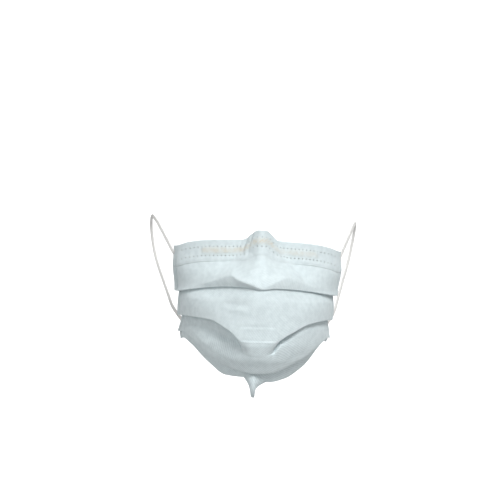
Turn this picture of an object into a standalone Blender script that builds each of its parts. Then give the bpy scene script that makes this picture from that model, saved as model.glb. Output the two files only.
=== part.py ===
"""Pleated surgical face mask in its worn shape, for Blender 4.5 (metres, +Z up).

X runs across the mask, +Y goes back along the ear loops and +Z is up. The origin is the
point of the inner side behind the middle of the nose wire.
The cloth is one sheet with a hem turned over at the top and three pleats that open
downwards. It is laid out on grid lines: "across" runs from the centre (0) to a side edge (1),
"down" is the drop below the top edge, and "lift" is the distance out from the inner form.
"""
import bpy
import numpy as np
from math import pi

# Overall sizes of the worn mask
HALF_WIDTH = 0.0592
MASK_HEIGHT = 0.1060
WRAP_DEPTH = 0.0600

# Cloth
WALL = 0.0010
LAYER_GAP = 0.0006
CLEARANCE = 0.0003
PLEAT_DEPTH = 0.0085
LAST_PLEAT_DEPTH = 0.0050
HEM_DEPTH = 0.0158
BUMP_RISE = 0.0066
BUMP_HALF = 0.0130

# Spare cloth pinched together at the middle of the bottom edge
PINCH_DROP = 0.0100
PINCH_ASIDE = -0.0020
PINCH_OUT = 0.0080
PINCH_HALF = 0.0024
PINCH_CLOTH = 0.0110

# Nose wire in the hem
WIRE_LENGTH = 0.1000
WIRE_WIDTH = 0.0035
WIRE_THICKNESS = 0.0006
WIRE_DROP = 0.0072

# Ear loops
LOOP_DIAMETER = 0.0024
WELD_WIDTH = 0.0030
WELD_HEIGHT = 0.0060
WELD_THICKNESS = 0.0010
WELD_INSET = 0.0042
UPPER_WELD_DROP = 0.0050
LOWER_WELD_RISE = 0.0070
LOOP_PAST_EDGE = 0.0030

# Grid of the cloth
COLUMNS_PER_SIDE = 18
ARC_STEPS = 3
OPEN_STEP = 0.0004
SLOPE_STEP = 0.0015

# Form of the inner side. down: share of MASK_HEIGHT. half: share of HALF_WIDTH. front, back
# and bump_out: shares of WRAP_DEPTH. flat and bump_half: shares of HALF_WIDTH.
# point: 1 for a round section, less for one that falls away straight from the middle.
SECTIONS = (
    # down   half    front    back     flat   point  bump_out bump_half
    (0.000, 1.000,  0.000,  0.930,   0.00,  0.95,  0.200,  0.22),
    (0.140, 1.005, -0.045,  0.900,   0.00,  0.95,  0.235,  0.27),
    (0.260, 1.005, -0.150,  0.835,   0.00,  0.95,  0.280,  0.46),
    (0.385, 0.980, -0.240,  0.900,   0.00,  0.90,  0.230,  0.66),
    (0.470, 0.990, -0.262,  0.850,   0.03,  0.85,  0.110,  0.60),
    (0.570, 0.990, -0.245,  0.900,   0.10,  0.80,  0.050,  0.50),
    (0.700, 1.035, -0.223,  1.040,   0.18,  0.70,  0.020,  0.50),
    (0.800, 1.060, -0.198,  1.150,   0.18,  0.62,  0.000,  0.50),
    (0.870, 1.060, -0.113,  1.200,   0.16,  0.58,  0.000,  0.50),
    (0.940, 1.050,  0.022,  1.250,   0.13,  0.55,  0.000,  0.50),
    (1.040, 1.040,  0.235,  1.310,   0.10,  0.54,  0.000,  0.50),
    (1.120, 1.040,  0.400,  1.360,   0.10,  0.54,  0.000,  0.50),
)

# Lines across the cloth, each at five stations from the middle to the side edge.
# The first five columns are drops as shares of MASK_HEIGHT, the last five are lifts
# counted in layers of cloth. Each shut pleat leaves the next panel two layers further in.
STATIONS = (0.0, 0.21, 0.38, 0.66, 1.0)
LINES = {
    "top":    ((0.062, 0.062, 0.066, 0.077, 0.118), (0, 0, 0, 0, 0)),
    "ridge":  ((0.365, 0.315, 0.320, 0.358, 0.385), (0.4, 2.6, 2.2, 0.5, 0)),
    "fold_1": ((0.388, 0.371, 0.371, 0.384, 0.408), (0, 0, 0, 0, 0)),
    "middle": ((0.500, 0.495, 0.485, 0.485, 0.490), (-2, -2, -2, -2, -2)),
    "fold_2": ((0.726, 0.724, 0.675, 0.603, 0.578), (-2, -2, -1.6, -2, -2)),
    "lower":  ((0.830, 0.828, 0.760, 0.680, 0.640), (-2, -3.4, -6.2, -5.2, -4)),
    "fold_3": ((0.955, 0.950, 0.940, 0.855, 0.692), (-2, -2.3, -3.0, -4, -4)),
    "bottom": ((1.045, 1.040, 1.038, 0.928, 0.728), (-4, -4.3, -5.0, -6, -6)),
}

# How far each pleat is shut at the stations: 1 folded flat, 0 pulled open.
SHUT = {
    "fold_1": (1.0, 1.0, 1.0, 1.0, 1.0),
    "fold_2": (0.0, 0.10, 0.62, 1.0, 1.0),
    "fold_3": (1.0, 1.0, 1.0, 1.0, 1.0),
}

# Free course of an ear loop between its two welds: points (out, back, up) in metres
# from the origin. The two loops are mirror images.
LOOP_COURSE = (
    (0.0604, 0.0640, -0.0095),
    (0.0645, 0.0755, -0.0020),
    (0.0690, 0.0890, 0.0065),
    (0.0730, 0.1035, 0.0135),
    (0.0754, 0.1160, 0.0158),
    (0.0756, 0.1252, 0.0100),
    (0.0740, 0.1282, -0.0025),
    (0.0712, 0.1235, -0.0150),
    (0.0679, 0.1135, -0.0250),
    (0.0648, 0.1020, -0.0335),
    (0.0619, 0.0905, -0.0415),
    (0.0591, 0.0800, -0.0490),
    (0.0552, 0.0700, -0.0548),
)
LOOP_POINTS = 34

PITCH = WALL + LAYER_GAP
FOLD_RADIUS = PITCH / 2
HEM_PITCH = WALL + WIRE_THICKNESS + 2.5 * CLEARANCE


def through(knots, values, at):
    """Smooth curve through the knots that never swings past a value (limited cubic)."""
    knots = np.asarray(knots, float)
    values = np.asarray(values, float)
    at = np.clip(np.asarray(at, float), knots[0], knots[-1])
    steps = np.diff(knots)
    rates = np.diff(values) / steps
    slopes = np.zeros_like(values)
    same = rates[:-1] * rates[1:] > 0
    slopes[1:-1][same] = 2 * rates[:-1][same] * rates[1:][same] / (rates[:-1] + rates[1:])[same]
    index = np.clip(np.searchsorted(knots, at, side="right") - 1, 0, len(steps) - 1)
    share = (at - knots[index]) / steps[index]
    start = values[index]
    rise = values[index + 1] - start
    first = slopes[index] * steps[index]
    last = slopes[index + 1] * steps[index]
    bow = 3 * rise - 2 * first - last
    twist = first + last - 2 * rise
    return start + share * (first + share * (bow + share * twist))


def ease(share):
    """Smooth step from 0 to 1."""
    share = np.clip(share, 0, 1)
    return share * share * (3 - 2 * share)


def form(across, down):
    """Point of the inner form: a quarter oval that wraps back, with a narrow bump at its middle."""
    side = np.sign(across)
    share = np.sin(np.abs(across) * pi / 2)
    rows = np.array(SECTIONS)
    half, front, back, flat, point, bump_out, bump_half = (
        through(rows[:, 0] * MASK_HEIGHT, rows[:, column], down) for column in range(1, 8))
    out = half * share
    clear = np.maximum(share - flat, 0) / (1 - flat)
    bend = 1 - np.sqrt(np.maximum(1 - clear ** 2, 0))
    bump = bump_out * ease(out / bump_half)
    reach = front + bump + (back - front - bump_out) * bend ** point
    return np.stack([side * out * HALF_WIDTH, reach * WRAP_DEPTH, -down + 0 * out], axis=-1)


def slant(across, down):
    """Length of cloth down the form for each unit of drop."""
    run = form(across, down + SLOPE_STEP) - form(across, down - SLOPE_STEP)
    return np.linalg.norm(run, axis=-1) / (2 * SLOPE_STEP)


def place(across, down, lift):
    """Point of the form, moved out by lift square to it."""
    across = np.asarray(across, float)
    down, lift = np.broadcast_to(down, across.shape), np.broadcast_to(lift, across.shape)
    step = 0.004
    along = form(np.clip(across + step, -1, 1), down) - form(np.clip(across - step, -1, 1), down)
    fall = form(across, down + SLOPE_STEP) - form(across, down - SLOPE_STEP)
    normal = np.cross(fall, along)
    normal /= np.linalg.norm(normal, axis=-1, keepdims=True)
    return form(across, down) + normal * lift[..., None]


def line(name, across):
    """Drop and lift of a named line of the cloth."""
    stations = np.sin(np.abs(across) * pi / 2)
    drops, lifts = LINES[name]
    drop = through(STATIONS, drops, stations) * MASK_HEIGHT
    return drop, through(STATIONS, lifts, stations) * PITCH


def top_drop(across):
    """Drop of the top edge, raised over the bump."""
    drop, _ = line("top", across)
    out = np.sin(np.abs(across) * pi / 2) * HALF_WIDTH
    return drop - BUMP_RISE * (1 - ease((out - 0.18 * BUMP_HALF) / (0.82 * BUMP_HALF)))


def run_to(path, down, lift, steps):
    """Adds rows from the last one to a new drop and lift."""
    start_down, start_lift = path[-1]
    for step in range(1, steps + 1):
        share = step / steps
        path.append((start_down + (down - start_down) * share,
                     start_lift + (lift - start_lift) * ease(share)))


def ahead(path, across, heading, length):
    """Adds a row at a length of cloth ahead. A heading of 0 goes down the form, pi goes up."""
    down, lift = path[-1]
    path.append((down + length * np.cos(heading) / slant(across, down), lift - length * np.sin(heading)))


def turn(path, across, heading, change, radius):
    """Adds an arc that changes the heading."""
    chord = 2 * radius * np.sin(np.abs(change) / ARC_STEPS / 2) + OPEN_STEP * (1 - np.abs(change) / pi)
    for step in range(ARC_STEPS):
        ahead(path, across, heading + change * (step + 0.5) / ARC_STEPS, chord)


def pleat(path, name, across, steps, depth):
    """Adds a pleat: down to its edge, back behind itself, and down again."""
    shut = through(STATIONS, SHUT[name], np.sin(np.abs(across) * pi / 2))
    angle = shut * pi
    edge, lift = line(name, across)
    sag = FOLD_RADIUS * np.sin(np.minimum(angle, pi / 2)) / slant(across, edge)
    run_to(path, edge - sag, lift, steps)
    turn(path, across, 0 * angle, angle, FOLD_RADIUS)
    ahead(path, across, angle, depth / 2)
    ahead(path, across, angle, depth / 2)
    turn(path, across, angle, -angle, FOLD_RADIUS)
    down, lift = path[-1]
    path.append((np.maximum(edge, down) + WALL, lift))


def cloth_path(across):
    """Rows of the cloth (drop, lift) from the free edge of the hem to the bottom edge."""
    top = top_drop(across)
    rise = line("top", across)[0] - top
    hem = top + HEM_DEPTH + 0.4 * rise
    radius = HEM_PITCH / 2
    path = [(hem, 0 * across + PITCH)]
    run_to(path, top + 1.6 * WIRE_DROP, HEM_PITCH, 1)
    run_to(path, top + radius, HEM_PITCH, 3)
    for step in range(1, ARC_STEPS + 1):
        turned = pi * step / ARC_STEPS
        path.append((top + radius - radius * np.sin(turned), radius + radius * np.cos(turned)))
    run_to(path, hem, 0, 4)
    ridge, lift = line("ridge", across)
    run_to(path, ridge, lift, 4)
    pleat(path, "fold_1", across, 2, PLEAT_DEPTH)
    middle, lift = line("middle", across)
    run_to(path, middle, lift, 2)
    pleat(path, "fold_2", across, 5, PLEAT_DEPTH)
    lower, lift = line("lower", across)
    run_to(path, np.maximum(lower, path[-1][0] + WALL), lift, 2)
    edge, lift = line("fold_3", across)
    run_to(path, np.maximum(edge - LAST_PLEAT_DEPTH - PITCH, path[-1][0] + WALL), lift, 2)
    pleat(path, "fold_3", across, 2, LAST_PLEAT_DEPTH)
    bottom, lift = line("bottom", across)
    run_to(path, np.maximum(bottom, path[-1][0] + 2 * WALL), lift, 3)
    return path


def pinched(points, across, rows):
    """Gathers the spare cloth near the middle of the bottom edge into a narrow hanging fold."""
    cloth = across * 1.5 * HALF_WIDTH - PINCH_ASIDE
    near = 1 - ease((np.abs(cloth) - 0.8 * PINCH_CLOTH) / PINCH_CLOTH)
    slope = np.clip(1 - np.abs(cloth) / PINCH_CLOTH, 0, 1)
    gathered = PINCH_ASIDE + PINCH_HALF * np.tanh(cloth / PINCH_HALF)
    points[..., 0] += rows * near * (gathered - points[..., 0])
    points[..., 1] -= rows * PINCH_OUT * slope
    points[..., 2] -= rows * PINCH_DROP * (1 - (1 - slope) ** 2.2)
    return points


def material(name, colour, roughness):
    made = bpy.data.materials.new(name)
    made.use_nodes = True
    shader = made.node_tree.nodes["Principled BSDF"]
    shader.inputs["Base Color"].default_value = (*colour, 1)
    shader.inputs["Roughness"].default_value = roughness
    made.diffuse_color = (*colour, 1)
    return made


def sheet(name, points, thickness, look):
    """Object from a grid of points, with a wall of even thickness about it."""
    rows, columns = points.shape[:2]
    index = np.arange(rows * columns).reshape(rows, columns)
    faces = np.stack([index[:-1, :-1], index[:-1, 1:], index[1:, 1:], index[1:, :-1]], axis=-1)
    mesh = bpy.data.meshes.new(name)
    mesh.from_pydata(points.reshape(-1, 3).tolist(), [], faces.reshape(-1, 4).tolist())
    mesh.shade_smooth()
    made = bpy.data.objects.new(name, mesh)
    made.data.materials.append(look)
    mask.objects.link(made)
    wall = made.modifiers.new("wall", "SOLIDIFY")
    wall.thickness = thickness
    wall.offset = 0
    wall.use_even_offset = True
    return made


for old in list(bpy.data.objects):
    bpy.data.objects.remove(old, do_unlink=True)
mask = bpy.data.collections.new("surgical_face_mask")
bpy.context.scene.collection.children.link(mask)

cloth_look = material("pale_blue_nonwoven", (0.74, 0.83, 0.86), 0.85)
wire_look = material("coated_nose_wire", (0.80, 0.78, 0.73), 0.45)
elastic_look = material("white_knitted_elastic", (0.86, 0.86, 0.84), 0.8)

# The cloth, one sheet from the hem's free edge to the bottom edge
spacing = np.linspace(-1, 1, 2 * COLUMNS_PER_SIDE + 1)
columns = np.sign(spacing) * np.abs(spacing) ** 1.35
path = cloth_path(columns)
drops = np.array([np.broadcast_to(row[0], columns.shape) for row in path])
lifts = np.array([np.broadcast_to(row[1], columns.shape) for row in path])
grid = place(np.broadcast_to(columns, drops.shape), drops, lifts)
strip_rows = 4
hang = np.zeros((len(path), 1))
hang[-strip_rows:, 0] = (0.15, 0.45, 0.8, 1.0)
grid = pinched(grid, np.broadcast_to(columns, drops.shape), hang)

# The origin is on the inner face, at the middle of the wire
seat = place(np.zeros(1), top_drop(np.zeros(1)) + WIRE_DROP, np.array([-WALL / 2]))[0]
sheet("mask_panel", grid - seat, WALL, cloth_look)

# The nose wire, midway between the two layers of the hem
fine = np.linspace(0, 1, 400)
wire_line = place(fine, top_drop(fine) + WIRE_DROP, HEM_PITCH / 2)
reach = np.concatenate([[0], np.cumsum(np.linalg.norm(np.diff(wire_line, axis=0), axis=1))])
wire_end = np.interp(WIRE_LENGTH / 2, reach, fine)
wire_across = np.concatenate([[-wire_end], columns[np.abs(columns) < wire_end - 0.01], [wire_end]])
wire_rows = [place(wire_across, top_drop(wire_across) + WIRE_DROP + part * WIRE_WIDTH, HEM_PITCH / 2)
             for part in (-0.5, 0.5)]
sheet("nose_wire", np.array(wire_rows) - seat, WIRE_THICKNESS, wire_look)

# The ear loops and their welded ends inside the four corners
inset = 1 - WELD_INSET / (1.5 * HALF_WIDTH)
half_weld = 0.5 * WELD_WIDTH / (1.5 * HALF_WIDTH)
behind_upper = -WALL / 2 - CLEARANCE - WELD_THICKNESS / 2
lower_lift = float(np.min(lifts[-strip_rows:, -1]))
behind_lower = lower_lift + behind_upper
corner_top = float(top_drop(np.ones(1))[0])
corner_bottom = float(drops[-1, -1])
ends = {
    "upper": (corner_top + UPPER_WELD_DROP, behind_upper),
    "lower": (corner_bottom - LOWER_WELD_RISE, behind_lower),
}
for side_name, side in (("left", -1), ("right", 1)):
    centres = {}
    for end_name, (drop, lift) in ends.items():
        across = side * np.linspace(inset - half_weld, inset + half_weld, 3)
        if side < 0:
            across = across[::-1]
        rows = [place(across, drop + part * WELD_HEIGHT, lift) for part in (-0.5, 0.0, 0.5)]
        weld_name = "loop_weld_" + end_name + "_" + side_name
        sheet(weld_name, np.array(rows) - seat, WELD_THICKNESS, elastic_look)
        part = 0.5 if end_name == "upper" else -0.5
        reach_down = drop + part * (WELD_HEIGHT + 2 * CLEARANCE + LOOP_DIAMETER)
        deeper = lift + (WELD_THICKNESS - LOOP_DIAMETER) / 2
        centres[end_name] = place(np.array([side * inset]), reach_down, deeper)[0] - seat
    past_edge = np.array([0, WELD_INSET + LOOP_PAST_EDGE, 0.1 * (WELD_INSET + LOOP_PAST_EDGE)])
    course = np.array([centres["upper"], centres["upper"] + past_edge]
                      + [(side * out, back, up) for out, back, up in LOOP_COURSE]
                      + [centres["lower"] + past_edge, centres["lower"]])
    lengths = np.concatenate([[0], np.cumsum(np.linalg.norm(np.diff(course, axis=0), axis=1))])
    guide = bpy.data.curves.new("ear_loop_" + side_name, "CURVE")
    guide.dimensions = "3D"
    guide.bevel_depth = LOOP_DIAMETER / 2
    guide.bevel_resolution = 2
    guide.use_fill_caps = True
    spline = guide.splines.new("POLY")
    spline.points.add(LOOP_POINTS - 1)
    at = np.linspace(0, lengths[-1], LOOP_POINTS)
    tangents = np.gradient(course, lengths, axis=0)
    index = np.clip(np.searchsorted(lengths, at, side="right") - 1, 0, len(lengths) - 2)
    span = (lengths[index + 1] - lengths[index])[:, None]
    t = (at - lengths[index])[:, None] / span
    smooth = (2 * t ** 3 - 3 * t ** 2 + 1) * course[index]
    smooth += (3 * t ** 2 - 2 * t ** 3) * course[index + 1]
    smooth += (t ** 3 - 2 * t ** 2 + t) * span * tangents[index]
    smooth += (t ** 3 - t ** 2) * span * tangents[index + 1]
    flat = np.concatenate([smooth, np.ones((LOOP_POINTS, 1))], axis=1)
    spline.points.foreach_set("co", flat.ravel())
    loop = bpy.data.objects.new("ear_loop_" + side_name, guide)
    guide.materials.append(elastic_look)
    mask.objects.link(loop)
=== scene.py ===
"""A pleated surgical face mask in its worn shape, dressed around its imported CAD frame.

Blender 4.5, in metres: X runs across the mask, +Y goes back along the ear loops, +Z is up.
"""
from math import cos, pi, radians, sin

import bpy
import numpy as np
from mathutils import Matrix, Vector
from mathutils.bvhtree import BVHTree


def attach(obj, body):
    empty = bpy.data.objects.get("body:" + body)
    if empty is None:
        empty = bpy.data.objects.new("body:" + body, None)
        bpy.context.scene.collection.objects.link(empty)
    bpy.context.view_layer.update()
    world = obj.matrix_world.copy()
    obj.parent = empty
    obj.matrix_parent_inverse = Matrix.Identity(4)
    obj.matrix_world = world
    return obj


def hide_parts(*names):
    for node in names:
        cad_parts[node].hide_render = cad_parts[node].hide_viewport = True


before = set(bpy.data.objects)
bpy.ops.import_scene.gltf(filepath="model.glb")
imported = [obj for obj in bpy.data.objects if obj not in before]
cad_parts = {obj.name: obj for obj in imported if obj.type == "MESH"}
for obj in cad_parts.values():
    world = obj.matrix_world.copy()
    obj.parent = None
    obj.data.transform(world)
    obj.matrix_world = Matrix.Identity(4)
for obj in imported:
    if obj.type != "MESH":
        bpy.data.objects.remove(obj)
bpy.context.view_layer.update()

# Camera: two metres in front of the mask and level with its nose wire, turned and tilted
# a little, so that the mask stands as it does in the photograph.
VIEW_DISTANCE = 2.0
VIEW_TURN = radians(3.0)
VIEW_TILT = radians(2.1)
VIEW_WIDTH = 0.350
AIM_RIGHT = -0.0084
AIM_UP = -0.0063
SENSOR_WIDTH = 36.0

view_into = Vector((sin(VIEW_TURN), cos(VIEW_TURN), 0))
level = Vector((cos(VIEW_TURN), -sin(VIEW_TURN), 0))
upright = Vector((0, 0, 1))
view_right = level * cos(VIEW_TILT) + upright * sin(VIEW_TILT)
view_up = upright * cos(VIEW_TILT) - level * sin(VIEW_TILT)
lens = bpy.data.cameras.new("photo_camera")
lens.sensor_width = SENSOR_WIDTH
lens.lens = SENSOR_WIDTH * VIEW_DISTANCE / VIEW_WIDTH
lens.clip_end = 20
camera = bpy.data.objects.new("photo_camera", lens)
bpy.context.scene.collection.objects.link(camera)
stand = view_right * AIM_RIGHT + view_up * AIM_UP - view_into * VIEW_DISTANCE
turned = Matrix((view_right, view_up, -view_into)).transposed()
camera.matrix_world = Matrix.Translation(stand) @ turned.to_4x4()
bpy.context.scene.camera = camera

# Ear loops: flat white elastic knitted in lengthwise ribs. Each is one length of it, welded
# to the inner side at the two corners of its side and drawn back in one plain turn.
LOOP_WIDTH = 0.0026
LOOP_THICKNESS = 0.0011
LOOP_RIBS = 4
RIB_DEPTH = 0.00008
STITCH_PITCH = 0.0010
STITCH_DEPTH = 0.00003
LOOP_RINGS = 1320
LOOP_SIDES = 28
EDGE_ROUNDNESS = 0.7
FACE_ROUNDNESS = 0.6
CLOSED_SHARE = 0.02
LOOP_COURSE = (
    # out, back and up from the origin; the two loops mirror each other
    (0.0573, 0.0490, -0.0148),
    (0.0573, 0.0562, -0.0141),
    (0.0604, 0.0640, -0.0095),
    (0.0645, 0.0755, -0.0020),
    (0.0690, 0.0890, 0.0065),
    (0.0730, 0.1035, 0.0135),
    (0.0754, 0.1160, 0.0158),
    (0.0756, 0.1252, 0.0100),
    (0.0740, 0.1282, -0.0025),
    (0.0712, 0.1235, -0.0150),
    (0.0679, 0.1135, -0.0250),
    (0.0648, 0.1020, -0.0335),
    (0.0619, 0.0905, -0.0415),
    (0.0591, 0.0800, -0.0490),
    (0.0552, 0.0700, -0.0548),
    (0.0516, 0.0627, -0.0594),
    (0.0505, 0.0583, -0.0613),
    (0.0504, 0.0568, -0.0634),
)


def new_mesh(name, points, faces, uv=None, uv_name="cloth"):
    """Object from an array of points and a list of faces, smooth, with UV in metres."""
    mesh = bpy.data.meshes.new(name)
    mesh.from_pydata(points.tolist(), [], faces)
    mesh.shade_smooth()
    if uv is not None:
        corners = np.empty(len(mesh.loops), int)
        mesh.loops.foreach_get("vertex_index", corners)
        layer = mesh.uv_layers.new(name=uv_name)
        layer.data.foreach_set("uv", uv[corners].astype(np.float32).ravel())
    made = bpy.data.objects.new(name, mesh)
    bpy.context.scene.collection.objects.link(made)
    return made


def grid_faces(rows, columns, closed=False):
    """Quads between neighbouring rows and columns; closed joins the last column to the first."""
    index = np.arange(rows * columns).reshape(rows, columns)
    if closed:
        index = np.concatenate([index, index[:, :1]], axis=1)
    corners = [index[:-1, :-1], index[:-1, 1:], index[1:, 1:], index[1:, :-1]]
    return np.stack(corners, axis=-1).reshape(-1, 4)


def smooth_course(points, count):
    """Even steps along a curve through the points: cubic spans that share their slopes."""
    points = np.asarray(points, float)
    reach = np.concatenate([[0], np.cumsum(np.linalg.norm(np.diff(points, axis=0), axis=1))])
    slopes = np.gradient(points, reach, axis=0)
    at = np.linspace(0, reach[-1], count)
    index = np.clip(np.searchsorted(reach, at, side="right") - 1, 0, len(reach) - 2)
    span = (reach[index + 1] - reach[index])[:, None]
    t = (at - reach[index])[:, None] / span
    curve = (2 * t ** 3 - 3 * t ** 2 + 1) * points[index]
    curve += (3 * t ** 2 - 2 * t ** 3) * points[index + 1]
    curve += (t ** 3 - 2 * t ** 2 + t) * span * slopes[index]
    curve += (t ** 3 - t ** 2) * span * slopes[index + 1]
    return curve


def elastic_strip(name, course, face_out, width=LOOP_WIDTH, thickness=LOOP_THICKNESS):
    """Flat ribbed strip: a rounded oblong ring carried along the course, broad side to face_out.

    The ring's half sizes are powers of the cosine and sine. It closes at both ends as a circle.
    """
    run = np.gradient(course, axis=0)
    run /= np.linalg.norm(run, axis=1, keepdims=True)
    normal = face_out - run * (run @ face_out)[:, None]
    normal /= np.linalg.norm(normal, axis=1, keepdims=True)
    broad = np.cross(run, normal)
    reach = np.concatenate([[0], np.cumsum(np.linalg.norm(np.diff(course, axis=0), axis=1))])
    angle = np.arange(LOOP_SIDES) * 2 * pi / LOOP_SIDES
    wide = np.sign(np.cos(angle)) * np.abs(np.cos(angle)) ** EDGE_ROUNDNESS * width / 2
    thick = np.sign(np.sin(angle)) * np.abs(np.sin(angle)) ** FACE_ROUNDNESS * thickness / 2
    rib = RIB_DEPTH * np.cos(2 * pi * LOOP_RIBS * (wide / width + 0.5)) * np.sin(angle)
    stitch = STITCH_DEPTH * np.cos(2 * pi * reach / STITCH_PITCH)[:, None] * np.sin(angle)
    end = np.minimum(reach, reach[-1] - reach)[:, None]
    closing = np.sqrt(np.clip(end / (thickness / 2), 0, 1))[..., None]
    ring = broad[:, None] * wide[None, :, None] + normal[:, None] * (thick - rib + stitch)[..., None]
    points = course[:, None] + ring * (CLOSED_SHARE + (1 - CLOSED_SHARE) * closing)
    uv = np.stack(np.broadcast_arrays(wide * LOOP_WIDTH / width + LOOP_WIDTH, reach[:, None]), axis=-1)
    count = len(course) * LOOP_SIDES
    last_ring = count - LOOP_SIDES
    points = np.concatenate([points.reshape(-1, 3), course[:1], course[-1:]])
    uv = np.concatenate([uv.reshape(-1, 2), [[0, 0], [0, reach[-1]]]])
    side = np.arange(LOOP_SIDES)
    following = (side + 1) % LOOP_SIDES
    start_cap = np.stack([following, side, np.full(LOOP_SIDES, count)], axis=1)
    end_cap = np.stack([side, following, np.full(LOOP_SIDES, LOOP_SIDES + 1)], axis=1) + last_ring
    faces = grid_faces(len(course), LOOP_SIDES, closed=True)[:, ::-1].tolist()
    return new_mesh(name, points, faces + start_cap.tolist() + end_cap.tolist(), uv, "knit")


def new_look(name, **settings):
    """Material, its tree and its shader, with the shader's settings named in small letters."""
    look = bpy.data.materials.new(name)
    look.use_nodes = True
    shader = look.node_tree.nodes["Principled BSDF"]
    for key, value in settings.items():
        shader.inputs[key.replace("_", " ").title().replace("Ior", "IOR")].default_value = value
    return look, look.node_tree, shader


def joined(tree, kind, inputs, **settings):
    """Shader node with its inputs: each is another node's output or a plain value."""
    node = tree.nodes.new(kind)
    for key, value in settings.items():
        setattr(node, key, value)
    for key, value in inputs.items():
        if isinstance(value, bpy.types.NodeSocket):
            tree.links.new(value, node.inputs[key])
        else:
            node.inputs[key].default_value = value
    return node


def maths(tree, operation, *terms, **settings):
    """Output of one sum on outputs or plain values."""
    return joined(tree, "ShaderNodeMath", dict(enumerate(terms)), operation=operation, **settings).outputs[0]


def ranged(tree, value, low, high, to_low=0.0, to_high=1.0):
    """Output of a value taken from one range to another, and held inside it."""
    inputs = {"Value": value, "From Min": low, "From Max": high, "To Min": to_low, "To Max": to_high}
    return joined(tree, "ShaderNodeMapRange", inputs).outputs["Result"]


def mixed(tree, share, first, second):
    """Output of a colour between two: outputs, or three shares of red, green and blue."""
    first, second = ((*part, 1) if isinstance(part, tuple) else part for part in (first, second))
    return joined(tree, "ShaderNodeMix", {0: share, 6: first, 7: second}, data_type="RGBA").outputs[2]


def noise_of(tree, scale, detail=2.0, roughness=0.5):
    """Output of noise over the piece's own place, scale turns per metre."""
    place_at = joined(tree, "ShaderNodeTexCoord", {})
    inputs = {"Vector": place_at.outputs["Object"], "Scale": scale, "Detail": detail, "Roughness": roughness}
    return joined(tree, "ShaderNodeTexNoise", inputs).outputs["Fac"]


def dress(tree, shader, colour, height=None, strength=0.0, distance=0.0):
    """Gives the shader its colour and, with a height, a bump."""
    tree.links.new(colour, shader.inputs["Base Color"])
    if height is not None:
        bump = joined(tree, "ShaderNodeBump", {"Height": height, "Strength": strength, "Distance": distance})
        tree.links.new(bump.outputs["Normal"], shader.inputs["Normal"])


def elastic_finish():
    """White knitted elastic: ribs along it, small loops across it and a soft sheen.

    The height is cos(a) + sin(b + sin(a)) / 2, where a turns once a rib and b once a stitch.
    The colour is darker where the height is low: painted shade in the knit's hollows.
    """
    look, tree, shader = new_look("white_knitted_elastic", roughness=0.75, sheen_weight=0.25)
    knit = joined(tree, "ShaderNodeUVMap", {}, uv_map="knit")
    split = joined(tree, "ShaderNodeSeparateXYZ", {0: knit.outputs["UV"]})
    across = maths(tree, "MULTIPLY", split.outputs["X"], 2 * pi * LOOP_RIBS / LOOP_WIDTH)
    along = maths(tree, "MULTIPLY", split.outputs["Y"], 2 * pi / STITCH_PITCH)
    stitch = maths(tree, "SINE", maths(tree, "ADD", maths(tree, "SINE", across), along))
    height = maths(tree, "MULTIPLY_ADD", stitch, 0.5, maths(tree, "COSINE", across))
    # painted shade: the elastic's colour darkens where its knit height is low, in the hollows between ribs
    # and stitches
    colour = mixed(tree, ranged(tree, height, -1.4, 1.4), (0.72, 0.72, 0.70), (0.86, 0.86, 0.84))
    dress(tree, shader, colour, height, 0.15, 0.00005)
    return look


elastic_look = elastic_finish()
for side_name, side in (("left", -1), ("right", 1)):
    course = smooth_course(LOOP_COURSE, LOOP_RINGS) * (side, 1, 1)
    loop = elastic_strip("ear_elastic_" + side_name, course, np.array([0.55 * side, -0.83, 0.0]))
    loop.data.materials.append(elastic_look)
    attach(loop, "root")
    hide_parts("ear_loop_" + side_name)

# Mask panel: one sheet of three-layer non-woven cloth, with a hem turned over, three pleats that
# open downwards and spare cloth pinched together at the bottom edge. across runs from -1 at the
# left side edge to 1 at the right one; drop is the depth below the origin.
HALF_WIDTH = 0.0592
MASK_HEIGHT = 0.1060
WRAP_DEPTH = 0.0600
SOLID_WALL = 0.0010
LAYER = 0.0016
CLOTH_WALL = 0.00042
CLOTH_SET_IN = -0.5 * SOLID_WALL + 0.5 * CLOTH_WALL
FLAT_WIDTH = 0.175
CREASE_RADIUS = 0.00030
CREASE_ARCS = 5
PLEAT_TILT = 0.115
FIRST_TILT = ((-1.0, -0.85, 0.0, 0.6, 0.85, 1.0), (0.11, 0.055, 0.035, 0.05, 0.09, 0.115))
LAST_TILT = ((-1.0, -0.85, -0.6, 0.0, 0.6, 0.85, 1.0), (0.05, 0.09, 0.22, 0.26, 0.22, 0.09, 0.05))
PLEAT_DEPTH = 0.0085
PLEAT_BACK_ROWS = 6
LAST_PLEAT_DEPTH = 0.0050
RIM_SPRING = 0.0010
RIM_FADE_START = 0.40
RIM_FADE = 0.35
HEM_DEPTH = 0.0153
HEM_GAP = 0.00055
HEM_PRESSED = 0.0024
HEM_FOLLOWS_BUMP = 0.4
BUMP_RISE = 0.0066
BUMP_HALF = 0.0130
BUMP_FLAT = 0.18
BUMP_FADE = 0.82
PINCH_DROP = 0.0124
PINCH_ASIDE = -0.0020
PINCH_OUT = 0.0062
PINCH_HALF = 0.0023
PINCH_CLOTH = 0.0110
LEFT_LOOSE = 0.50
RIGHT_LOOSE = 0.20
RIGHT_WALL = 0.25
WIRE_LENGTH = 0.1000
WIRE_WIDTH = 0.0035
WIRE_THICKNESS = 0.0005
WIRE_DROP = 0.0072
WIRE_SAMPLES = 400
ROWS = {"pressed": 4, "hem": 18, "turn": 4, "panel": 7, "ridge": 14, "fold_1": 8, "middle": 9,
        "fold_2": 27, "lower": 12, "shoulder": 8, "fold_3": 6, "bottom": 14}
HEM_ROWS = 1 + ROWS["pressed"] + ROWS["hem"]
CLOTH_COLUMNS = 250
COLUMN_POWER = 1.15
SLOPE_STEP = 0.0015
FLAT_SOFTNESS = 0.55
TURN_STEP = 0.05

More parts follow.
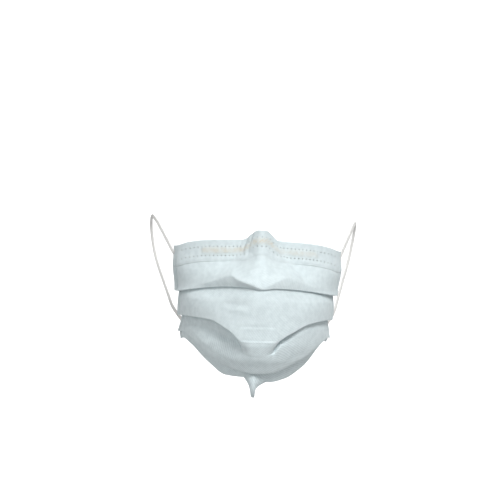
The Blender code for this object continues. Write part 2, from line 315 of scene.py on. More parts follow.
# Form of the inner side, level by level. down: share of MASK_HEIGHT. half, flat and bump_half:
# shares of HALF_WIDTH. front, back and bump_out: shares of WRAP_DEPTH. point: 1 for a round
# section, less for one that falls away straight from the middle.
SECTIONS = np.array((
    # down   half    front    back     flat   point  bump_out bump_half
    (0.000, 1.000,  0.000,  0.930,   0.00,  0.95,  0.200,  0.22),
    (0.140, 1.005, -0.045,  0.900,   0.00,  0.95,  0.235,  0.27),
    (0.260, 1.005, -0.150,  0.835,   0.00,  0.95,  0.280,  0.46),
    (0.385, 0.980, -0.240,  0.900,   0.00,  0.90,  0.230,  0.66),
    (0.470, 0.990, -0.262,  0.850,   0.03,  0.85,  0.110,  0.60),
    (0.570, 0.990, -0.245,  0.900,   0.10,  0.80,  0.050,  0.50),
    (0.700, 1.035, -0.223,  1.040,   0.18,  0.70,  0.020,  0.50),
    (0.765, 1.051, -0.213,  1.112,   0.18,  0.65,  0.007,  0.50),
    (0.800, 1.060, -0.187,  1.150,   0.18,  0.62,  0.000,  0.50),
    (0.870, 1.060, -0.113,  1.200,   0.16,  0.58,  0.000,  0.50),
    (0.940, 1.050,  0.022,  1.250,   0.13,  0.55,  0.000,  0.50),
    (1.040, 1.040,  0.235,  1.310,   0.10,  0.54,  0.000,  0.50),
    (1.120, 1.040,  0.400,  1.360,   0.10,  0.54,  0.000,  0.50),
))

# Lines across the cloth from the left side edge to the right one. The first row of each is
# drops as shares of MASK_HEIGHT, the second is lifts off the form in millimetres. A third row
# is the line's own stations.
STATIONS = (-1.00, -0.85, -0.62, -0.38, -0.20, 0.00, 0.20, 0.38, 0.62, 0.85, 1.00)
LINES = {
    "top": (
        (0.118, 0.092, 0.073, 0.068, 0.064, 0.061, 0.064, 0.070, 0.077, 0.097, 0.120),
        (0.0, 0.0, 0.0, 0.0, 0.0, 0.0, 0.0, 0.0, 0.0, 0.0, 0.0)),
    "ridge": (
        (0.390, 0.383, 0.378, 0.362, 0.347, 0.330, 0.325, 0.342, 0.364, 0.381, 0.384, 0.374, 0.348,
         0.322, 0.318, 0.329, 0.352, 0.382, 0.390),
        (0.0, 0.1, 0.2, 1.5, 2.9, 4.6, 5.0, 4.6, 2.9, 0.7, 0.2, 0.4, 1.7, 3.1, 3.3, 2.9, 1.5, 0.1, 0.0),
        (-1.00, -0.85, -0.74, -0.62, -0.50, -0.36, -0.307, -0.25, -0.12, -0.02, 0.00, 0.04, 0.15,
         0.25, 0.30, 0.38, 0.55, 0.85, 1.00)),
    "fold_1": (
        (0.420, 0.405, 0.384, 0.373, 0.374, 0.387, 0.376, 0.379, 0.389, 0.406, 0.416),
        (0.0, 0.0, 0.0, 0.0, 0.0, 0.0, 0.0, 0.0, 0.0, 0.0, 0.0)),
    "middle": (
        (0.490, 0.488, 0.485, 0.485, 0.495, 0.500, 0.495, 0.485, 0.485, 0.488, 0.490),
        (-3.2, -2.7, -2.2, -2.0, -1.9, -1.9, -2.0, -2.2, -2.6, -3.1, -3.2)),
    "fold_2": (
        (0.582, 0.588, 0.599, 0.658, 0.730, 0.733, 0.730, 0.682, 0.617, 0.589, 0.582),
        (-3.2, -3.0, -2.3, -1.2, -2.6, -3.0, -3.0, -2.8, -3.1, -3.2, -3.2)),
    "lower": (
        (0.640, 0.650, 0.688, 0.760, 0.828, 0.830, 0.828, 0.760, 0.688, 0.650, 0.640),
        (-6.4, -7.0, -9.0, -10.8, -5.6, -3.1, -4.8, -6.6, -6.0, -6.0, -6.2)),
    "fold_3": (
        (0.685, 0.737, 0.850, 0.930, 0.954, 0.967, 0.957, 0.924, 0.852, 0.750, 0.698),
        (-6.4, -6.2, -5.2, -3.8, -2.4, -1.9, -2.2, -3.4, -5.0, -6.1, -6.4)),
    "bottom": (
        (0.738, 0.798, 0.932, 1.008, 1.004, 1.020, 1.028, 1.018, 0.949, 0.784, 0.714),
        (-9.4, -8.8, -8.1, -5.9, -3.5, -2.8, -3.2, -5.4, -7.9, -8.8, -9.4)),
}

# How far the second pleat is shut at the stations: 1 folded flat, 0 pulled open. The other two
# are folded flat all the way.
SECOND_SHUT = (1.00, 1.00, 0.99, 0.64, 0.10, 0.00, 0.10, 0.72, 1.00, 1.00, 1.00)


def through(knots, values, at):
    """Smooth curve through the knots that never swings past a value (limited cubic)."""
    knots = np.asarray(knots, float)
    values = np.asarray(values, float)
    at = np.clip(np.asarray(at, float), knots[0], knots[-1])
    steps = np.diff(knots)
    rates = np.diff(values) / steps
    slopes = np.zeros_like(values)
    same = rates[:-1] * rates[1:] > 0
    slopes[1:-1][same] = 2 * rates[:-1][same] * rates[1:][same] / (rates[:-1] + rates[1:])[same]
    index = np.clip(np.searchsorted(knots, at, side="right") - 1, 0, len(steps) - 1)
    share = (at - knots[index]) / steps[index]
    start = values[index]
    rise = values[index + 1] - start
    first = slopes[index] * steps[index]
    last = slopes[index + 1] * steps[index]
    bow = 3 * rise - 2 * first - last
    twist = first + last - 2 * rise
    return start + share * (first + share * (bow + share * twist))


def ease(share):
    """Smooth step from 0 to 1."""
    share = np.clip(share, 0, 1)
    return share * share * (3 - 2 * share)


def inner_form(across, down):
    """Point of the inner form: a quarter oval that wraps back, with a narrow bump at its middle."""
    side = np.sign(across)
    share = np.sin(np.abs(across) * pi / 2)
    half, front, back, flat, point, bump_out, bump_half = (
        through(SECTIONS[:, 0] * MASK_HEIGHT, SECTIONS[:, column], down) for column in range(1, 8))
    out = half * share
    soft = FLAT_SOFTNESS * flat
    past = np.maximum(share - flat + soft, 0)
    whole = 1 - flat + soft
    clear = (np.hypot(past, soft) - soft) / (np.hypot(whole, soft) - soft)
    bend = 1 - np.sqrt(np.maximum(1 - clear ** 2, 0))
    bump = bump_out * ease(out / bump_half)
    reach = front + bump + (back - front - bump_out) * bend ** point
    return np.stack([side * out * HALF_WIDTH, reach * WRAP_DEPTH, -down + 0 * out], axis=-1)


def slant(across, down):
    """Length of cloth down the form for each unit of drop."""
    run = inner_form(across, down + SLOPE_STEP) - inner_form(across, down - SLOPE_STEP)
    return np.linalg.norm(run, axis=-1) / (2 * SLOPE_STEP)


def outward(across, down):
    """Direction square to the inner form, taken over a few millimetres, so that it turns softly."""
    right_of = inner_form(np.clip(across + TURN_STEP, -1, 1), down)
    along = right_of - inner_form(np.clip(across - TURN_STEP, -1, 1), down)
    fall = inner_form(across, down + 2 * SLOPE_STEP) - inner_form(across, down - 2 * SLOPE_STEP)
    normal = np.cross(fall, along)
    return normal / np.linalg.norm(normal, axis=-1, keepdims=True)


def place(across, down, lift):
    """Point of the form, moved out by lift square to it."""
    parts = (np.asarray(part, float) for part in (across, down, lift))
    across, down, lift = np.broadcast_arrays(*parts)
    return inner_form(across, down) + outward(across, down) * lift[..., None]


def line(name, across):
    """Drop and lift of a named line of the cloth."""
    stations = np.sin(across * pi / 2)
    drops, lifts, *own = LINES[name]
    knots = own[0] if own else STATIONS
    return through(knots, drops, stations) * MASK_HEIGHT, through(knots, lifts, stations) * 0.001


def top_drop(across):
    """Drop of the top edge, raised over the bump."""
    drop, _ = line("top", across)
    out = np.sin(np.abs(across) * pi / 2) * HALF_WIDTH
    return drop - BUMP_RISE * (1 - ease((out - BUMP_FLAT * BUMP_HALF) / (BUMP_FADE * BUMP_HALF)))


def run_to(path, down, lift, steps, power=None):
    """Adds rows from the last one to a new drop and lift; the lift eases, or goes by a power."""
    start_down, start_lift = path[-1]
    for step in range(1, steps + 1):
        share = step / steps
        way = ease(share) if power is None else share ** power
        path.append((start_down + (down - start_down) * share,
                     start_lift + (lift - start_lift) * way))


def ahead(path, across, heading, length):
    """Adds a row at a length of cloth ahead. A heading of 0 goes down the form, pi goes up."""
    down, lift = path[-1]
    path.append((down + length * np.cos(heading) / slant(across, down),
                 lift - length * np.sin(heading)))


def crease(path, across, heading, change):
    """Adds a tight arc that changes the heading."""
    turn = np.abs(change)
    chord = 2 * CREASE_RADIUS * np.sin(turn / CREASE_ARCS / 2) + CREASE_RADIUS * (1 - turn / pi)
    for step in range(CREASE_ARCS):
        ahead(path, across, heading + change * (step + 0.5) / CREASE_ARCS, chord)


def pleat(path, name, across, depth, power=None, tilt=PLEAT_TILT, shut=1.0):
    """Adds a pleat: down to its edge, back up behind itself and down again, in a narrow Z.

    It turns by a half turn less the tilt, times how far it is shut.
    """
    angle = shut * (pi - tilt)
    edge, lift = line(name, across)
    sag = CREASE_RADIUS * np.sin(np.minimum(angle, pi / 2)) / slant(across, edge)
    run_to(path, edge - sag, lift, ROWS[name], power)
    crease(path, across, 0 * angle, angle)
    for _ in range(PLEAT_BACK_ROWS):
        ahead(path, across, angle, depth / PLEAT_BACK_ROWS)
    crease(path, across, angle, shut * tilt - angle)
    down, lift = path[-1]
    finish = np.maximum(edge, down) + 0.001
    for share in (0.25, 0.5, 0.75, 1.0):
        path.append((down + (finish - down) * share,
                     lift - (finish - down) * share * tilt * shut))


def cloth_path(across):
    """Rows of the cloth (drop, lift) from the free edge of the hem to the bottom edge."""
    top = top_drop(across)
    rise = line("top", across)[0] - top
    hem = top + HEM_DEPTH + HEM_FOLLOWS_BUMP * rise
    radius = HEM_GAP / 2
    path = [(hem, HEM_GAP * (0.5 * np.abs(across) - 0.2))]
    run_to(path, hem - HEM_PRESSED, HEM_GAP, ROWS["pressed"])
    run_to(path, top + radius, HEM_GAP, ROWS["hem"])
    for step in range(1, ROWS["turn"] + 1):
        turned = pi * step / ROWS["turn"]
        path.append((top + radius - radius * np.sin(turned), radius + radius * np.cos(turned)))
    run_to(path, hem, 0, ROWS["panel"])
    ridge, lift = line("ridge", across)
    run_to(path, ridge, lift, ROWS["ridge"], power=1.5)
    stations = np.sin(across * pi / 2)
    pleat(path, "fold_1", across, PLEAT_DEPTH, power=1.1, tilt=through(*FIRST_TILT, stations))
    middle, lift = line("middle", across)
    run_to(path, middle, lift, ROWS["middle"])
    pleat(path, "fold_2", across, PLEAT_DEPTH, shut=through(STATIONS, SECOND_SHUT, stations))
    lower, lift = line("lower", across)
    run_to(path, np.maximum(lower, path[-1][0] + 0.001), lift, ROWS["lower"])
    edge, lift = line("fold_3", across)
    shoulder = edge - LAST_PLEAT_DEPTH - 0.4 * LAYER
    spring = RIM_SPRING * (1 - ease((np.abs(stations) - RIM_FADE_START) / RIM_FADE))
    shoulder = np.maximum(shoulder, path[-1][0] + 0.001)
    run_to(path, shoulder, lift - spring, ROWS["shoulder"], power=1.0)
    pleat(path, "fold_3", across, LAST_PLEAT_DEPTH, tilt=through(*LAST_TILT, stations))
    bottom, lift = line("bottom", across)
    run_to(path, np.maximum(bottom, path[-1][0] + 0.002), lift, ROWS["bottom"])
    return path


def pinched(points, across, rows):
    """Gathers the spare cloth near the middle of the bottom edge into a narrow hanging fold.

    Its ridge points forward near its right side, so that its broad wall looks left. rows runs
    from 0 above it to 1 at the bottom edge, and slope from 0 beside it to 1 at its ridge.
    """
    cloth = across * 1.5 * HALF_WIDTH - PINCH_ASIDE
    slope = np.clip(1 - np.abs(cloth) / PINCH_CLOTH, 0, 1)
    loose = np.where(cloth < 0, LEFT_LOOSE, RIGHT_LOOSE) * PINCH_CLOTH
    near = 1 - ease((np.abs(cloth) - loose) / PINCH_CLOTH)
    wall = np.where(cloth < 0, PINCH_HALF, RIGHT_WALL * PINCH_HALF)
    gathered = PINCH_ASIDE + 0.4 * PINCH_HALF + wall * np.tanh(cloth / wall)
    points[..., 0] += rows * near * (gathered - points[..., 0])
    points[..., 1] -= rows ** 0.4 * (1 - 1.4 * rows ** 3) * PINCH_OUT * slope ** 2
    points[..., 2] -= rows * PINCH_DROP * np.where(cloth < 0, 1 - (1 - slope) ** 2.2, slope ** 1.2)
    return points


# Low folds of the worn cloth. x and drop in millimetres of the line's two ends, half width
# and height of the fold in millimetres; a negative height is a hollow. FOLD_FADE is a share
# of the line.
FOLD_FADE = 0.15
FOLDS = (
    # x_1    drop_1   x_2    drop_2  half   height
    (9.3,    12.0,    27.0,   34.0,  3.0,   0.9),
    (15.0,   12.0,    34.0,   36.0,  4.0,  -0.7),
    (-12.0,  18.0,   -34.0,   34.0,  3.5,   0.5),
    # gathers to the left of the bump
    (-10.2,  2.0,    -13.6,  13.5,  0.9,   0.30),
    (-8.6,   1.5,    -12.2,  16.0,  0.8,  -0.42),
    (-7.2,   1.0,    -10.6,  17.0,  0.8,   0.40),
    (-5.8,   0.5,    -9.0,   17.5,  0.8,  -0.45),
    (-4.6,   0.0,    -7.6,   16.0,  0.9,   0.32),
    (-6.6,   15.0,   -4.5,   20.0,  1.2,  -0.35),
    # soft hollows of the middle panel
    (-26.0,  51.0,   -8.0,    52.5,  2.2,  -0.45),
    (-22.0,  56.0,   -10.0,   57.0,  1.8,   0.35),
    (-24.0,  45.5,   -9.0,    47.0,  1.8,   0.30),
    # creases left by folding, across the flat front under the middle
    (-15.0,  67.5,    13.0,   67.5,  0.7,  -0.22),
    (-15.0,  68.9,    13.0,   68.9,  0.8,   0.20),
    (-13.0,  77.2,    12.0,   77.2,  0.6,  -0.25),
    (-13.0,  78.4,    12.0,   78.4,  0.7,   0.22),
)


def relief(points_x, drop):
    """Sum of the low folds: each a bell across its line that fades past its two ends."""
    total = np.zeros(np.broadcast(points_x, drop).shape)
    for x_1, drop_1, x_2, drop_2, half, height in FOLDS:
        start = np.array([x_1, drop_1]) * 0.001
        along = np.array([x_2, drop_2]) * 0.001 - start
        length = np.linalg.norm(along)
        along /= length
        gap_x, gap_down = points_x - start[0], drop - start[1]
        reach = (gap_x * along[0] + gap_down * along[1]) / length
        aside = (gap_x * along[1] - gap_down * along[0]) / (half * 0.001)
        begun = ease((reach + FOLD_FADE) / (2 * FOLD_FADE))
        left = ease((1 + FOLD_FADE - reach) / (2 * FOLD_FADE))
        total += height * 0.001 * np.exp(-aside ** 2) * (begun * left)
    return total


# Side bands: the welded layers along each side edge are stiff, so they turn outwards past a
# crease beside them. Drop, flare and depth of the crease are in millimetres; FLARE_FROM and
# CREASE_FROM are in widths of the band from the edge.
BAND_WIDTH = 0.0068
FLARE_FROM = 1.25
CREASE_FROM = 1.2
LEFT_CREASE_HALF = 0.0030
RIGHT_CREASE_HALF = 0.0022
LEFT_BAND = np.array((
    # drop   flare  crease
    (5.0,    0.2,   0.3),
    (20.0,   0.4,   0.5),
    (30.0,   1.0,   1.8),
    (41.0,   0.9,   2.0),
    (46.0,   0.5,   0.6),
    (56.0,   0.8,   1.0),
    (64.0,   0.5,   0.8),
    (80.0,   0.3,   0.5),
))
RIGHT_BAND = np.array((
    # drop   flare  crease
    (5.0,    0.2,   0.3),
    (20.0,   0.6,   0.6),
    (30.0,   1.2,   1.2),
    (41.0,   1.2,   1.2),
    (46.0,   0.8,   0.5),
    (56.0,   1.2,   1.2),
    (64.0,   0.6,   0.4),
    (80.0,   0.3,   0.3),
))


def side_flare(across, drop):
    """Lift of the side bands: a power of the way past the crease, less a bell at the crease."""
    from_edge = (1 - np.abs(across)) * FLAT_WIDTH / 2
    past = np.clip(1 - from_edge / (FLARE_FROM * BAND_WIDTH), 0, 1) ** 1.6
    lift = 0.0
    for band, here, half in ((LEFT_BAND, across < 0, LEFT_CREASE_HALF),
                             (RIGHT_BAND, across >= 0, RIGHT_CREASE_HALF)):
        flare = through(band[:, 0] * 0.001, band[:, 1], drop) * 0.001
        depth = through(band[:, 0] * 0.001, band[:, 2], drop) * 0.001
        bell = np.exp(-((from_edge - CREASE_FROM * BAND_WIDTH) / half) ** 2)
        lift = lift + here * (flare * past - depth * bell)
    return lift


spacing = np.linspace(-1, 1, CLOTH_COLUMNS + 1)
columns = np.sign(spacing) * np.abs(spacing) ** COLUMN_POWER
path = cloth_path(columns)
drops = np.array([np.broadcast_to(row[0], columns.shape) for row in path])
lifts = np.array([np.broadcast_to(row[1], columns.shape) for row in path])
across_grid = np.broadcast_to(columns, drops.shape)
front_x = np.sin(across_grid * pi / 2) * HALF_WIDTH

# The hem's outer layer swells by the wire's thickness over the nose wire.
wire_reach = np.linspace(0, 1, WIRE_SAMPLES)
wire_line = place(wire_reach, top_drop(wire_reach) + WIRE_DROP, 0.0)
wire_run = np.concatenate([[0], np.cumsum(np.linalg.norm(np.diff(wire_line, axis=0), axis=1))])
wire_end = np.interp(WIRE_LENGTH / 2, wire_run, wire_reach)
over_wire = np.abs(drops - top_drop(columns) - WIRE_DROP) / (WIRE_WIDTH / 2)
wire_swell = ease(1.5 - 0.75 * over_wire) * ease((wire_end - np.abs(across_grid)) / 0.012 + 0.5)
lifts = lifts + CLOTH_SET_IN + relief(front_x, drops) + side_flare(across_grid, drops)
lifts[:HEM_ROWS] += (WIRE_THICKNESS * wire_swell)[:HEM_ROWS]

grid = place(across_grid, drops, lifts)
hang = np.zeros((len(path), 1))
hang[-ROWS["bottom"]:, 0] = np.linspace(0.05, 1, ROWS["bottom"]) ** 1.5
grid = pinched(grid, across_grid, hang)
seat = place(np.zeros(1), top_drop(np.zeros(1)) + WIRE_DROP, np.array([-SOLID_WALL / 2]))[0]
grid = grid - seat

row_steps = np.linalg.norm(np.diff(grid, axis=0), axis=-1).mean(axis=1)
row_reach = np.concatenate([[0], np.cumsum(row_steps)])
uv = np.stack(np.broadcast_arrays(columns[None] * FLAT_WIDTH / 2, row_reach[:, None]), axis=-1)

# Finish of the cloth: slanting rows of small bonded points, the cloth's own pattern. They are drawn faint
# above and clear on the lowest panels; that rise is painted light, not a change in the cloth. The nose
# wire's knurled coat shows through the hem. Each row of tints gives the cloth, its pressed points and the
# cloth over the wire.
BOND_PITCH = 0.00115
BOND_LENGTH = 0.0017
BOND_SLANT = radians(38)
CHECK_PITCH = 0.0021
WIRE_TINT_FADE = 0.09
RIGHT_TINT_SHARE = 0.65
CLEAR_BONDS_DROP = 0.074
CLEAR_BONDS_FADE = 0.010
FAINT_BONDS = 0.30
OUTER_TINTS = ((0.75, 0.84, 0.86), (0.56, 0.645, 0.665), (0.66, 0.61, 0.49))
INNER_TINTS = ((0.80, 0.82, 0.82), (0.70, 0.72, 0.72), (0.80, 0.80, 0.78))


def wave_of(tree, split, along_u, along_v):
    """Cosine wave over the cloth: turns per metre along u and v."""
    first = maths(tree, "MULTIPLY", split.outputs[0], 2 * pi * along_u)
    both = maths(tree, "MULTIPLY_ADD", split.outputs[1], 2 * pi * along_v, first)
    return maths(tree, "COSINE", both)


def cloth_finish(name, tint, shadow_tint, wire_tint):
    """Pale non-woven cloth: slanting rows of small bonded points over fine matted fibres.

    The bonded points are one wave across the rows times a weaker one along them. They lower
    the surface and darken it. Noise gives the fibres and the cloudy unevenness of the web.
    """
    look, tree, shader = new_look(
        name, roughness=0.82, sheen_weight=0.12, sheen_roughness=0.6, specular_ior_level=0.3,
        subsurface_weight=0.12, subsurface_radius=(1, 1, 1), subsurface_scale=0.0006)
    web = joined(tree, "ShaderNodeUVMap", {}, uv_map="cloth")
    split = joined(tree, "ShaderNodeSeparateXYZ", {0: web.outputs[0]})
    rows = wave_of(tree, split, -sin(BOND_SLANT) / BOND_PITCH, cos(BOND_SLANT) / BOND_PITCH)
    beads = wave_of(tree, split, cos(BOND_SLANT) / BOND_LENGTH, sin(BOND_SLANT) / BOND_LENGTH)
    bonds = maths(tree, "MULTIPLY", rows, maths(tree, "MULTIPLY_ADD", beads, 0.35, 0.65))
    fibres = noise_of(tree, 2600.0, 4.0, 0.7)
    clouds = noise_of(tree, 260.0, 3.0, 0.6)
    clear = joined(tree, "ShaderNodeAttribute", {}, attribute_name="bonds_clear_by_light")
    shade = ranged(tree, maths(tree, "MULTIPLY", bonds, clear.outputs["Fac"]), -1.0, 1.0, -0.05, 0.75)
    uneven = ranged(tree, clouds, 0.35, 0.65, -0.12, 0.25)
    body = mixed(tree, maths(tree, "ADD", shade, uneven, use_clamp=True), tint, shadow_tint)
    checks = maths(tree, "MULTIPLY", wave_of(tree, split, 1 / CHECK_PITCH, 0),
                   wave_of(tree, split, 0, 1 / CHECK_PITCH))
    patches = maths(tree, "MULTIPLY", ranged(tree, clouds, 0.3, 0.7, 0.2, 0.85),
                    ranged(tree, checks, -0.6, 0.6, 0.45, 1.25))
    behind = joined(tree, "ShaderNodeAttribute", {}, attribute_name="wire_behind")
    colour = mixed(tree, maths(tree, "MULTIPLY", behind.outputs["Fac"], patches), body, wire_tint)
    dress(tree, shader, colour, maths(tree, "MULTIPLY_ADD", fibres, 0.8, bonds), 0.3, 0.00006)
    return look


def keep_values(piece, name, values):
    """Stores one value for each point of a piece, for its material to read."""
    layer = piece.data.attributes.new(name, "FLOAT", "POINT")
    layer.data.foreach_set("value", values.astype(np.float32).ravel())


cloth_look = cloth_finish("pale_blue_nonwoven", *OUTER_TINTS)
inner_look = cloth_finish("white_inner_nonwoven", *INNER_TINTS)
faces = grid_faces(*drops.shape)[:, ::-1].tolist()
cloth = new_mesh("pleated_cloth", grid.reshape(-1, 3), faces, uv.reshape(-1, 2))
wire_fade = ease((wire_end - np.abs(across_grid)) / WIRE_TINT_FADE + 0.5)
wire_fade = wire_fade * np.where(across_grid > 0.1, RIGHT_TINT_SHARE, 1.0)
wire_behind = np.exp(-((over_wire - 0.15) / 1.05) ** 2) * wire_fade
wire_behind[HEM_ROWS:] = 0.0
keep_values(cloth, "wire_behind", wire_behind)
# painted light: the bond rows' contrast rises on the lowest panels, where the light shows them more; the
# cloth is the same
bonds_light_share = ease((drops - CLEAR_BONDS_DROP) / CLEAR_BONDS_FADE)
keep_values(cloth, "bonds_clear_by_light", FAINT_BONDS + (1 - FAINT_BONDS) * bonds_light_share)
for look in (cloth_look, inner_look, cloth_look):
    cloth.data.materials.append(look)
face_row = np.arange(len(faces)) // CLOTH_COLUMNS
turned_over = (face_row < HEM_ROWS + 1).astype(np.int32)
cloth.data.polygons.foreach_set("material_index", turned_over)
wall = cloth.modifiers.new("wall", "SOLIDIFY")
wall.thickness = CLOTH_WALL
wall.offset = 0
wall.use_even_offset = False
wall.material_offset = 1
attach(cloth, "root")
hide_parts("mask_panel")

# Weld dots: points where hot pins pressed the layers of cloth together, in two rows along the
# hem and in close rows down both side edges. Each is a small dish with a raised rim.
DOT_PITCH = 0.0027
DOT_RADIUS = 0.00068
HEM_DOT_DROPS = (0.0046, 0.0110)
BAND_PITCH = 0.0016
BAND_DOT_RADIUS = 0.00044
BAND_DOT_INSETS = (0.0011, 0.0027, 0.0043, 0.0059)
CORNER_MARK_DROP = 0.0050
CORNER_MARK_CLEAR = 0.0032
BAND_TOP = 0.0105
BAND_BOTTOM = 0.0790
LOOK_LENGTH = 0.030
DOT_SIDES = 10
DOT_PROFILE = np.array((
    # share of the radius, height in millimetres
    (0.62, 0.03),
    (0.82, 0.09),
    (1.00, 0.09),
    (1.25, -0.06),
))
cloth_tree = BVHTree.FromPolygons(grid.reshape(-1, 3).tolist(), faces)


def on_cloth(across, down):
    """Points of the cloth's outer side and its directions there, found by looking straight in."""
    starts = place(across, down, 0.012) - seat
    ways = -outward(across, down)
    found = [cloth_tree.ray_cast(Vector(start), Vector(way), LOOK_LENGTH)
             for start, way in zip(starts, ways)]
    kept = [index for index, hit in enumerate(found) if hit[0] is not None]
    points = np.array([found[index][0] for index in kept])
    normals = np.array([found[index][1] for index in kept])
    normals *= np.sign(-(normals * ways[kept]).sum(axis=1))[:, None]
    return points + normals * CLOTH_WALL / 2, normals


def pressed_dots(name, points, normals, wide, tall):
    """Small dishes on the cloth: rings of a profile about each point, closed by a middle point."""
    run = np.cross(normals, (0.0, 0.0, 1.0))
    run /= np.linalg.norm(run, axis=1, keepdims=True)
    rise = np.cross(run, normals)
    angle = np.arange(DOT_SIDES) * 2 * pi / DOT_SIDES
    ring = (run[:, None] * (np.cos(angle) * wide)[None, :, None]
            + rise[:, None] * (np.sin(angle) * tall)[None, :, None])
    rings = (points[:, None, None] + ring[:, None] * DOT_PROFILE[None, :, 0, None, None]
             + normals[:, None, None] * DOT_PROFILE[None, :, 1, None, None] * 0.001)
    count = len(DOT_PROFILE) * DOT_SIDES
    whole = np.concatenate([rings.reshape(len(points), count, 3), points[:, None]], axis=1)
    side = np.arange(DOT_SIDES)
    fan = np.stack([side, (side + 1) % DOT_SIDES, 0 * side + count, 0 * side + count], axis=1)
    quads = np.concatenate([grid_faces(len(DOT_PROFILE), DOT_SIDES, closed=True), fan])
    quads = (quads[None] + np.arange(len(points))[:, None, None] * (count + 1)).reshape(-1, 4)
    made = new_mesh(name, whole.reshape(-1, 3),
                    [face[:3] if face[2] == face[3] else face for face in quads.tolist()])
    # share of the darker middle tint, which carries painted shade: full at the middle point, 0.9 on the
    # inner ring
    middle = np.zeros((len(points), count + 1))
    middle[:, -1] = 1.0
    middle[:, :DOT_SIDES] = 0.9
    keep_values(made, "pressed", middle)
    return made


def weld_finish(name, rim_tint, middle_and_shade_tint):
    """Cloth melted together: the pressed middle is smoother and greyer than the rim; its darker tint is
    partly the melted cloth's own grey and partly painted shade in the pressed hollow.
    """
    look, tree, shader = new_look(name, roughness=0.5, subsurface_weight=0.1,
                                  subsurface_radius=(1, 1, 1), subsurface_scale=0.0005)
    pressed = joined(tree, "ShaderNodeAttribute", {}, attribute_name="pressed")
    melt = noise_of(tree, 1800.0)
    share = maths(tree, "MULTIPLY", pressed.outputs["Fac"], ranged(tree, melt, 0.3, 0.7, 0.6, 1.0))
    dress(tree, shader, mixed(tree, share, rim_tint, middle_and_shade_tint), melt, 0.3, 0.00005)
    return look


# painted shade: the dark middle tint of the weld dots stands in for the shade in their pressed hollows, over
# the melted cloth's own grey
weld_look = weld_finish("pressed_weld", (0.72, 0.81, 0.83), (0.30, 0.33, 0.33))
hem_front = np.arange(-20, 21) * DOT_PITCH / HALF_WIDTH
hem_steps = np.arcsin(hem_front[np.abs(hem_front) < 0.97]) * 2 / pi
hem_across = np.concatenate([hem_steps, hem_steps])
hem_down = top_drop(hem_across) + np.repeat(HEM_DOT_DROPS, len(hem_steps))
band_steps = np.arange(BAND_TOP, BAND_BOTTOM, BAND_PITCH)
mark_drop = top_drop(np.ones(1)) + CORNER_MARK_DROP
band_steps = band_steps[np.abs(band_steps - mark_drop) > CORNER_MARK_CLEAR]
band_across, band_down = [], []
for row, inset in enumerate(BAND_DOT_INSETS):
    for side in (-1, 1):
        band_across.append(np.full(len(band_steps), side * (1 - inset / (FLAT_WIDTH / 2))))
        band_down.append(band_steps + (row % 2) * BAND_PITCH / 2)
for name, at_across, at_down, radius in (
        ("hem_weld_dots", hem_across, hem_down, DOT_RADIUS),
        ("side_weld_dots", np.concatenate(band_across), np.concatenate(band_down), BAND_DOT_RADIUS)):
    dots = pressed_dots(name, *on_cloth(at_across, at_down), radius, radius)
    dots.data.materials.append(weld_look)
    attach(dots, "root")

# Loop welds: the flattened ends of the ear loops, melted onto the inner side at the four
# corners. The upper two leave a paler oval mark on the outer side.
WELD_WIDTH = 0.0030
WELD_HEIGHT = 0.0058
WELD_THICKNESS = 0.0009
WELD_RINGS = 60
WELD_STEP = 0.003
MARK_WIDE = 0.0010
MARK_TALL = 0.0021
WELD_ACROSS = 0.952
WELD_DROPS = {"upper": CORNER_MARK_DROP, "lower": -0.0070}
for end_name, weld_drop in WELD_DROPS.items():
    for side_name, side in (("left", -1), ("right", 1)):
        weld_across = np.array([side * WELD_ACROSS])
        edge_drop = top_drop(weld_across) if weld_drop > 0 else line("bottom", weld_across)[0]
        weld_down = edge_drop + weld_drop
        way = outward(weld_across, weld_down)[0]
        start = place(weld_across, weld_down, -0.020)[0] - seat
        inner_point = np.array(cloth_tree.ray_cast(Vector(start), Vector(way), LOOK_LENGTH)[0])
        middle = inner_point - way * (CLOTH_WALL + WELD_THICKNESS) / 2
        fall = (place(weld_across, weld_down + WELD_STEP, 0.0)
                - place(weld_across, weld_down - WELD_STEP, 0.0))[0]
        weld_run = np.linspace(-0.5, 0.5, WELD_RINGS)[:, None] * WELD_HEIGHT
        weld = elastic_strip("elastic_weld_" + end_name + "_" + side_name,
                             middle + fall / np.linalg.norm(fall) * weld_run,
                             way, WELD_WIDTH, WELD_THICKNESS)
        weld.data.materials.append(elastic_look)
        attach(weld, "root")
        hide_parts("loop_weld_" + end_name + "_" + side_name)
mark_across = np.array([-WELD_ACROSS, WELD_ACROSS])
mark_places = on_cloth(mark_across, top_drop(mark_across) + CORNER_MARK_DROP)
marks = pressed_dots("corner_weld_marks", *mark_places, MARK_WIDE, MARK_TALL)
# the marks' darker middle is painted shade as well, set in the paler white of the melted elastic
marks.data.materials.append(weld_finish("white_corner_weld", (0.84, 0.86, 0.86), (0.74, 0.76, 0.76)))
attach(marks, "root")

# Nose wire: a flat wire in a plastic coat, closed in between the two layers of the hem, where
# it follows the cloth.
WIRE_COLUMNS = 120
WIRE_SIDES = 12
WIRE_EDGE_ROUNDNESS = 0.4
WIRE_SHARE = 0.42


def wire_finish():
    """Cream plastic coat: satin, with soft clouding and a fine uneven surface."""
    look, tree, shader = new_look("coated_nose_wire", roughness=0.42)
    clouds = noise_of(tree, 420.0, 3.0)
    dress(tree, shader, mixed(tree, clouds, (0.66, 0.61, 0.50), (0.78, 0.75, 0.67)), clouds, 0.2, 0.0001)
    return look


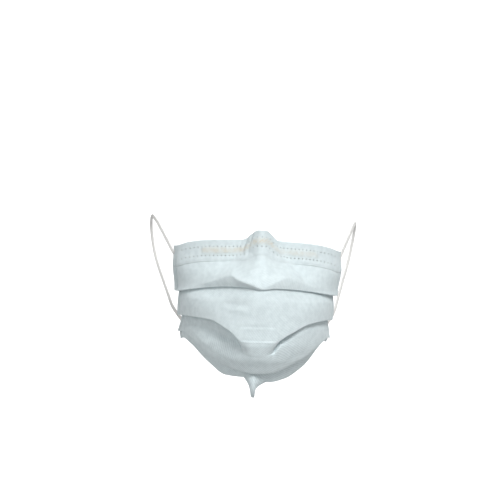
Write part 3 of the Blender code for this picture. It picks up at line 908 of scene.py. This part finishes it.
wire_columns = np.linspace(-wire_end, wire_end, WIRE_COLUMNS)
wire_mid = CLOTH_SET_IN + CLOTH_WALL / 2 + WIRE_THICKNESS / 2
wire_turn = np.linspace(0, 2 * pi, WIRE_SIDES, endpoint=False)
wire_wide = np.sign(np.cos(wire_turn)) * np.abs(np.cos(wire_turn)) ** WIRE_EDGE_ROUNDNESS
wire_wide = wire_wide * WIRE_WIDTH / 2
wire_thick = np.sign(np.sin(wire_turn)) * np.abs(np.sin(wire_turn)) ** FACE_ROUNDNESS
wire_thick = wire_thick * WIRE_THICKNESS * WIRE_SHARE
wire_down = top_drop(wire_columns)[:, None] + WIRE_DROP + wire_wide[None]
wire_x = np.sin(wire_columns * pi / 2)[:, None] * HALF_WIDTH
wire_lift = wire_mid + wire_thick[None] + relief(wire_x, wire_down)
wire_grid = place(wire_columns[:, None], wire_down, wire_lift) - seat
wire_faces = grid_faces(WIRE_COLUMNS, WIRE_SIDES, closed=True).tolist()
wire = new_mesh("coated_wire", wire_grid.reshape(-1, 3), wire_faces)
wire.data.materials.append(wire_finish())
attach(wire, "root")
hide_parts("nose_wire")

# Floor and backdrop: plain and pale, in one sheet that curves up behind. The mask is shown in
# its worn shape, well above the floor, so that little light comes back up under it.
FLOOR_DROP = 0.90
STAGE_HALF = 8.0
sweep = np.array([(-8.0, 0.0), (1.4, 0.0), (1.8, 0.08), (2.15, 0.35), (2.3, 0.8), (2.35, 5.0)])
sweep_points = np.array([(x, y, z - FLOOR_DROP) for y, z in sweep for x in (-STAGE_HALF, STAGE_HALF)])
floor = new_mesh("pale_floor", sweep_points, grid_faces(len(sweep), 2).tolist())
floor_look, floor_tree, floor_shader = new_look("pale_floor", roughness=0.9)
floor_tone = mixed(floor_tree, noise_of(floor_tree, 3.0), (0.79, 0.79, 0.79), (0.81, 0.81, 0.81))
dress(floor_tree, floor_shader, floor_tone)
floor.data.materials.append(floor_look)

# Studio light: a key from above the camera, a weak fill from the left, a wash for the backdrop
# and a plain dim sky.
LIGHTS = (
    # name            x      y     z    size  power  spread  aim
    ("key",           0.50, -2.0,  1.5, 0.9,   2.15,  32.0,  (0.0, 0.0, -0.05)),
    ("fill",         -1.60, -1.8,  0.5, 1.6,   0.8,   60.0,  (0.0, 0.0, -0.05)),
    ("backdrop_wash", 0.00,  1.1,  1.9, 1.5,  22.0,   70.0,  (0.0, 2.3, 0.0)),
)
for name, x, y, z, size, power, spread, aim in LIGHTS:
    lamp = bpy.data.lights.new(name, "AREA")
    lamp.size = size
    lamp.energy = power
    lamp.spread = radians(spread)
    holder = bpy.data.objects.new(name, lamp)
    holder.location = (x, y, z)
    holder.rotation_euler = (Vector(aim) - Vector((x, y, z))).to_track_quat("-Z", "Y").to_euler()
    bpy.context.scene.collection.objects.link(holder)
sky = bpy.data.worlds.new("plain_sky")
sky.use_nodes = True
sky.node_tree.nodes["Background"].inputs["Color"].default_value = (1.0, 1.0, 1.0, 1)
sky.node_tree.nodes["Background"].inputs["Strength"].default_value = 0.56
bpy.context.scene.world = sky
bpy.context.scene.view_settings.view_transform = "Standard"
